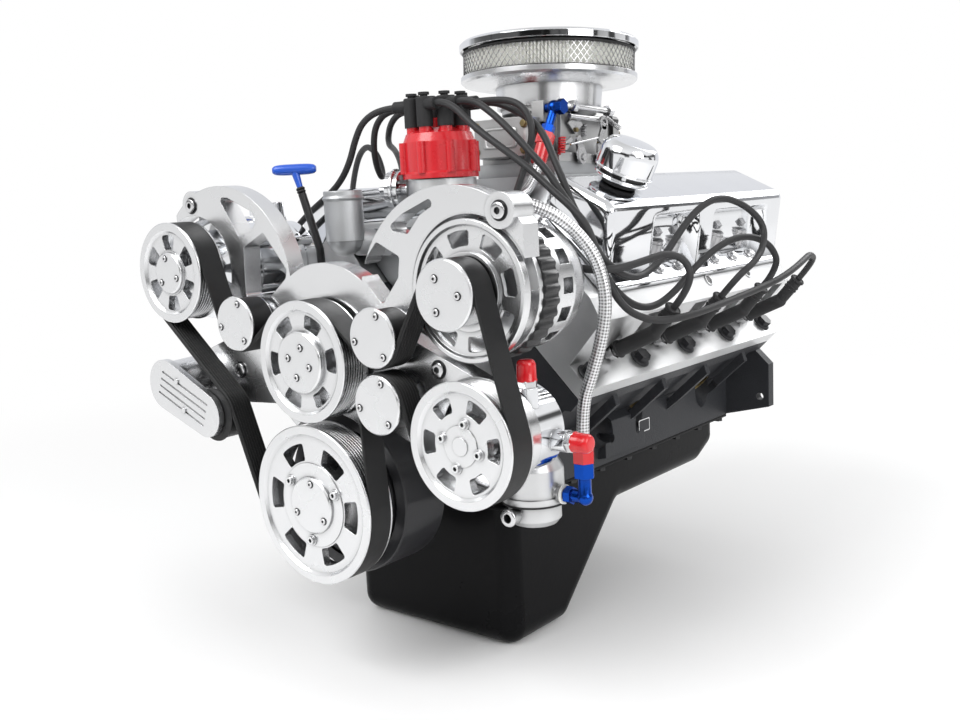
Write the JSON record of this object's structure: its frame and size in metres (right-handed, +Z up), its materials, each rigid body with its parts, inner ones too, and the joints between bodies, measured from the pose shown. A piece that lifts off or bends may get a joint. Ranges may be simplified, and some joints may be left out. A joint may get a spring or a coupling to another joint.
{
  "type": "complete v8 engine",
  "caption": "Dressed 90 degree V8 engine with belt drive, accessories, carburettor, round air cleaner and front-sump oil pan.",
  "frame": {"origin": "crank axis at the rear face of the block", "axes": "+Z up, +Y to the rear along the crank, -Y to the belt end, +X to the left bank"},
  "size_m": [0.6266, 0.7203, 0.7294],
  "materials": {
    "block_paint": "satin dark grey enamel on cast iron",
    "brass_plug": "pressed brass",
    "cap_iron": "machined iron",
    "forged_steel": "machined steel",
    "rod_steel": "forged steel",
    "piston_alloy": "machined",
    "cam_steel": "ground steel",
    "lifter_steel": "ground steel",
    "valve_steel": "machined steel",
    "head_alloy": "bright cast aluminium",
    "gasket_steel": "coated sheet",
    "black_bolt": "black oxide",
    "plug_metal": "plated",
    "black_boot": "moulded, satin",
    "cover_chrome": "polished",
    "breather_chrome": "polished",
    "chain_steel": "oiled steel",
    "cast_alloy": "bright cast aluminium",
    "balancer_steel": "black satin",
    "polished_alloy": "polished",
    "black_plastic": "moulded",
    "belt_rubber": "satin black back",
    "bright_bolt": "stainless",
    "stator_black": "black lacquered laminations",
    "anodised_fitting": "red and blue anodised",
    "pump_iron": "as cast",
    "pan_paint": "satin black",
    "manifold_alloy": "satin cast",
    "carb_alloy": "bright cast",
    "throttle_steel": "plated",
    "chrome_sheet": "polished",
    "filter_paper": "white pleated paper under wire mesh",
    "red_plastic": "moulded",
    "blue_handle": "blue anodised handle on a steel blade",
    "lead_rubber": "silicone jacket",
    "braided_hose": "braided stainless"
  },
  "bodies": {
    "engine": {"engine_block": "block_paint", "core_plugs": "brass_plug", "main_bearing_caps": "cap_iron", "connecting_rods": "rod_steel", "pistons": "piston_alloy", "lifters_and_pushrods": "lifter_steel", "rockers_valves_springs": "valve_steel", "left_cylinder_head": "head_alloy", "right_cylinder_head": "head_alloy", "head_gaskets": "gasket_steel", "head_bolts": "black_bolt", "spark_plugs": "plug_metal", "lead_boots": "black_boot", "left_valve_cover": "cover_chrome", "right_valve_cover": "cover_chrome", "timing_chain": "chain_steel", "timing_cover": "cast_alloy", "water_pump_housing": "cast_alloy", "serpentine_belt": "belt_rubber", "accessory_bracket": "polished_alloy", "bracket_and_pan_bolts": "bright_bolt", "alternator_housing": "cast_alloy", "alternator_stator": "stator_black", "ac_compressor": "polished_alloy", "power_steering_pump": "polished_alloy", "line_fittings": "anodised_fitting", "fuel_pump": "cast_alloy", "oil_pump": "pump_iron", "oil_pan": "pan_paint", "intake_manifold": "manifold_alloy", "thermostat_housing": "cast_alloy", "carburettor": "carb_alloy", "air_cleaner_base": "chrome_sheet", "air_filter_element": "filter_paper", "air_cleaner_lid": "chrome_sheet", "distributor_body": "cast_alloy", "distributor_cap": "red_plastic", "vacuum_advance": "chrome_sheet", "dipstick_tube": "chrome_sheet", "left_plug_leads": "lead_rubber", "right_plug_leads": "lead_rubber", "fuel_hose": "braided_hose"},
    "crank": {"crankshaft": "forged_steel", "harmonic_balancer": "balancer_steel", "crank_pulley": "polished_alloy"},
    "camshaft": {"camshaft": "cam_steel"},
    "water_pump": {"water_pump_pulley": "polished_alloy"},
    "power_steering": {"power_steering_pulley": "polished_alloy"},
    "compressor": {"ac_pulley": "polished_alloy"},
    "alternator": {"alternator_rotor": "polished_alloy"},
    "left_idler": {"left_idler": "polished_alloy"},
    "right_upper_idler": {"right_upper_idler": "polished_alloy"},
    "right_lower_idler": {"right_lower_idler": "polished_alloy"},
    "tensioner_arm": {"tensioner_arm": "polished_alloy"},
    "tensioner_pulley": {"tensioner_pulley": "black_plastic"},
    "distributor_rotor": {"distributor_rotor": "black_plastic"},
    "primary_throttle": {"primary_throttle": "throttle_steel"},
    "secondary_throttle": {"secondary_throttle": "throttle_steel"},
    "dipstick": {"dipstick": "blue_handle"},
    "breather_cap": {"breather_cap": "breather_chrome"}
  },
  "joints": [
    {"name": "crank_spin", "type": "hinge", "parent": "engine", "child": "crank", "pos_m": [0, 0, 0], "axis": [0, 1, 0], "continuous": true, "deforming": ["connecting_rods", "pistons"]},
    {"name": "camshaft_spin", "type": "hinge", "parent": "engine", "child": "camshaft", "pos_m": [0, -0.26, 0.1148], "axis": [0, 1, 0], "continuous": true},
    {"name": "water_pump_spin", "type": "hinge", "parent": "engine", "child": "water_pump", "pos_m": [0, -0.69, 0.1546], "axis": [0, 1, 0], "continuous": true},
    {"name": "power_steering_spin", "type": "hinge", "parent": "engine", "child": "power_steering", "pos_m": [0.212, -0.69, 0.0878], "axis": [0, 1, 0], "continuous": true},
    {"name": "compressor_spin", "type": "hinge", "parent": "engine", "child": "compressor", "pos_m": [-0.2168, -0.69, 0.2464], "axis": [0, 1, 0], "continuous": true},
    {"name": "alternator_spin", "type": "hinge", "parent": "engine", "child": "alternator", "pos_m": [0.202, -0.69, 0.229], "axis": [0, 1, 0], "continuous": true},
    {"name": "left_idler_spin", "type": "hinge", "parent": "engine", "child": "left_idler", "pos_m": [-0.1047, -0.69, 0.1911], "axis": [0, 1, 0], "continuous": true},
    {"name": "right_upper_idler_spin", "type": "hinge", "parent": "engine", "child": "right_upper_idler", "pos_m": [0.1061, -0.69, 0.1849], "axis": [0, 1, 0], "continuous": true},
    {"name": "right_lower_idler_spin", "type": "hinge", "parent": "engine", "child": "right_lower_idler", "pos_m": [0.1072, -0.69, 0.1179], "axis": [0, 1, 0], "continuous": true},
    {"name": "distributor_spin", "type": "hinge", "parent": "engine", "child": "distributor_rotor", "pos_m": [0, -0.468, 0.34], "axis": [0, 0, 1], "continuous": true},
    {"name": "tensioner_arm_swing", "type": "hinge", "parent": "engine", "child": "tensioner_arm", "pos_m": [-0.238, -0.69, 0.114], "axis": [0, 1, 0], "range_deg": [0, 25], "stiffness_Nm_per_rad": 20, "springref_deg": -17.19},
    {"name": "tensioner_pulley_spin", "type": "hinge", "parent": "tensioner_arm", "child": "tensioner_pulley", "pos_m": [-0.158, -0.69, 0.084], "axis": [0, 1, 0], "continuous": true},
    {"name": "primary_throttle_turn", "type": "hinge", "parent": "engine", "child": "primary_throttle", "pos_m": [0, -0.26715, 0.3592], "axis": [1, 0, 0], "range_deg": [0, 75], "stiffness_Nm_per_rad": 0.05, "springref_deg": -17.19},
    {"name": "secondary_throttle_turn", "type": "hinge", "parent": "engine", "child": "secondary_throttle", "pos_m": [0, -0.22122, 0.35679], "axis": [1, 0, 0], "range_deg": [0, 75]},
    {"name": "dipstick_pull", "type": "slide", "parent": "engine", "child": "dipstick", "axis": [-0.3451, 0, 0.9386], "range_m": [0, 0.06]},
    {"name": "breather_pull", "type": "slide", "parent": "engine", "child": "breather_cap", "axis": [0.4415, 0, 0.8973], "range_m": [0, 0.02]}
  ],
  "couplings": [
    {"joint": "camshaft_spin", "follows": "crank_spin", "ratio": 0.5},
    {"joint": "water_pump_spin", "follows": "crank_spin", "ratio": 1.3478},
    {"joint": "power_steering_spin", "follows": "crank_spin", "ratio": 1.4206},
    {"joint": "compressor_spin", "follows": "crank_spin", "ratio": 1.5208},
    {"joint": "alternator_spin", "follows": "crank_spin", "ratio": 2.653},
    {"joint": "left_idler_spin", "follows": "crank_spin", "ratio": -2.7848},
    {"joint": "right_upper_idler_spin", "follows": "crank_spin", "ratio": -2.7848},
    {"joint": "right_lower_idler_spin", "follows": "crank_spin", "ratio": -2.7848},
    {"joint": "distributor_spin", "follows": "crank_spin", "ratio": 0.5},
    {"joint": "tensioner_pulley_spin", "follows": "crank_spin", "ratio": -2.653},
    {"joint": "secondary_throttle_turn", "follows": "primary_throttle_turn", "ratio": 1}
  ]
}
